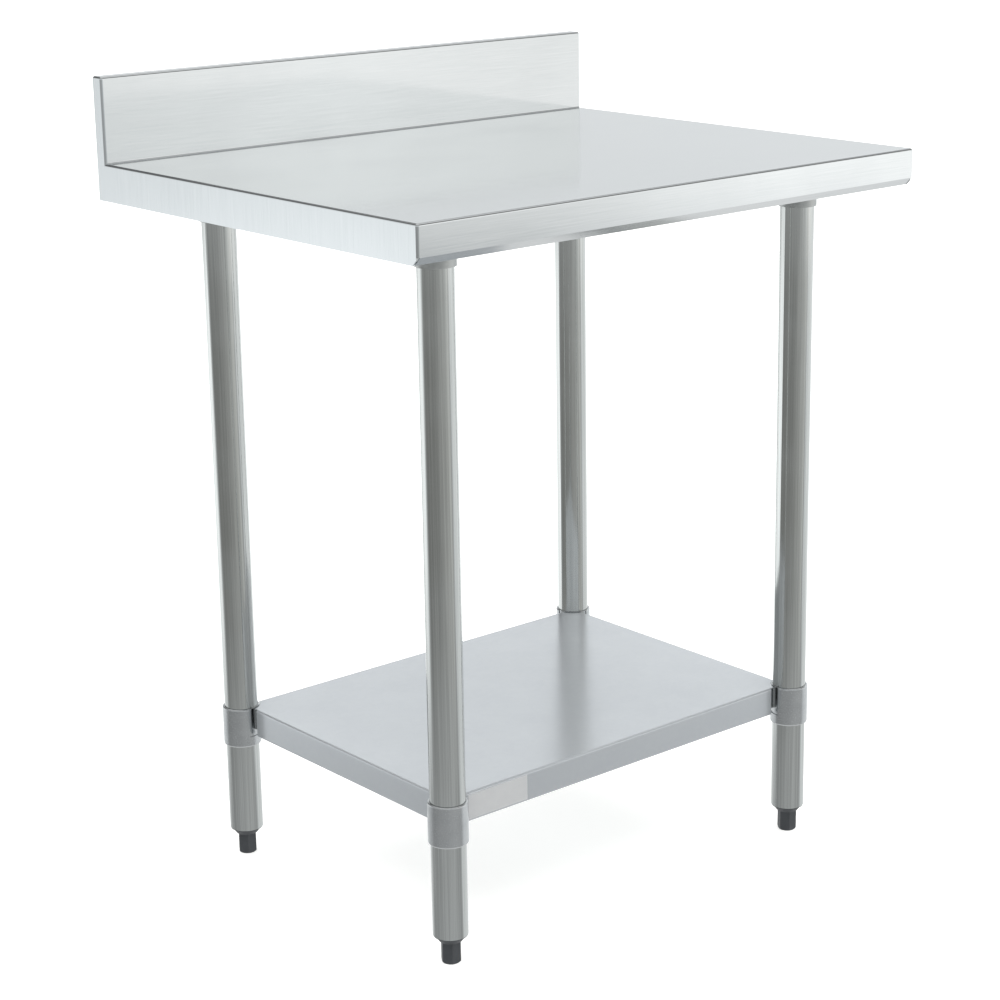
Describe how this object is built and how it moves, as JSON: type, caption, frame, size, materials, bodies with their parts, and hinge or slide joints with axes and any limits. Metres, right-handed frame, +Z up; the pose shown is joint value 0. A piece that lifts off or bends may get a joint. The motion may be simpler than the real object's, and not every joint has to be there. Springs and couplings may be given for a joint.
{
  "type": "stainless work table",
  "caption": "Stainless kitchen work table with a backsplash, round legs, a galvanised undershelf that slides on the legs and screw-adjusted feet.",
  "frame": {"origin": "on the floor under the middle of the table's outline", "axes": "+X to the right along the front edge, +Y towards the backsplash, +Z up"},
  "size_m": [0.75, 0.61, 0.975],
  "materials": {
    "stainless_top": "fine brushed stainless sheet with soft reflections",
    "stainless_tube": "polished stainless tube with fine lengthwise grain",
    "socket_steel": "satin stainless pressing with a welded sleeve",
    "galvanised_channel": "galvanised sheet with faint spangle",
    "galvanised_shelf": "galvanised sheet, pale blue grey, matte",
    "cast_collar": "turned cast aluminium, satin",
    "zinc_fastener": "zinc-plated steel",
    "black_screw": "black oxide steel",
    "foot_plastic": "dark grey moulded plastic",
    "damping_tape": "grey butyl damping tape",
    "label": "blank satin label"
  },
  "bodies": {
    "table": {"worktop_sheet": "stainless_top", "left_end_panel": "stainless_top", "right_end_panel": "stainless_top", "front_hat_channel": "galvanised_channel", "middle_hat_channel": "galvanised_channel", "rear_hat_channel": "galvanised_channel", "damping_tape": "damping_tape", "weld_studs": "zinc_fastener", "stud_nuts": "zinc_fastener", "leg_socket_front_left": "socket_steel", "leg_socket_front_right": "socket_steel", "leg_socket_rear_left": "socket_steel", "leg_socket_rear_right": "socket_steel", "socket_bolts": "zinc_fastener", "socket_nuts": "zinc_fastener", "socket_set_screws": "black_screw", "leg_front_left": "stainless_tube", "leg_front_right": "stainless_tube", "leg_rear_left": "stainless_tube", "leg_rear_right": "stainless_tube", "foot_insert_front_left": "foot_plastic", "foot_insert_front_right": "foot_plastic", "foot_insert_rear_left": "foot_plastic", "foot_insert_rear_right": "foot_plastic"},
    "shelf": {"undershelf": "galvanised_shelf", "undershelf_stiffener": "galvanised_channel", "collar_set_screws": "black_screw", "blank_label": "label", "shelf_collar_front_left": "cast_collar", "shelf_collar_front_right": "cast_collar", "shelf_collar_rear_left": "cast_collar", "shelf_collar_rear_right": "cast_collar"},
    "foot_front_left_body": {"foot_front_left": "foot_plastic"},
    "foot_front_right_body": {"foot_front_right": "foot_plastic"},
    "foot_rear_left_body": {"foot_rear_left": "foot_plastic"},
    "foot_rear_right_body": {"foot_rear_right": "foot_plastic"}
  },
  "joints": [
    {"name": "shelf_height", "type": "slide", "parent": "table", "child": "shelf", "axis": [0, 0, 1], "range_m": [-0.08, 0.3]},
    {"name": "foot_front_left_screw", "type": "slide", "parent": "table", "child": "foot_front_left_body", "axis": [0, 0, -1], "range_m": [0, 0.025]},
    {"name": "foot_front_right_screw", "type": "slide", "parent": "table", "child": "foot_front_right_body", "axis": [0, 0, -1], "range_m": [0, 0.025]},
    {"name": "foot_rear_left_screw", "type": "slide", "parent": "table", "child": "foot_rear_left_body", "axis": [0, 0, -1], "range_m": [0, 0.025]},
    {"name": "foot_rear_right_screw", "type": "slide", "parent": "table", "child": "foot_rear_right_body", "axis": [0, 0, -1], "range_m": [0, 0.025]}
  ]
}
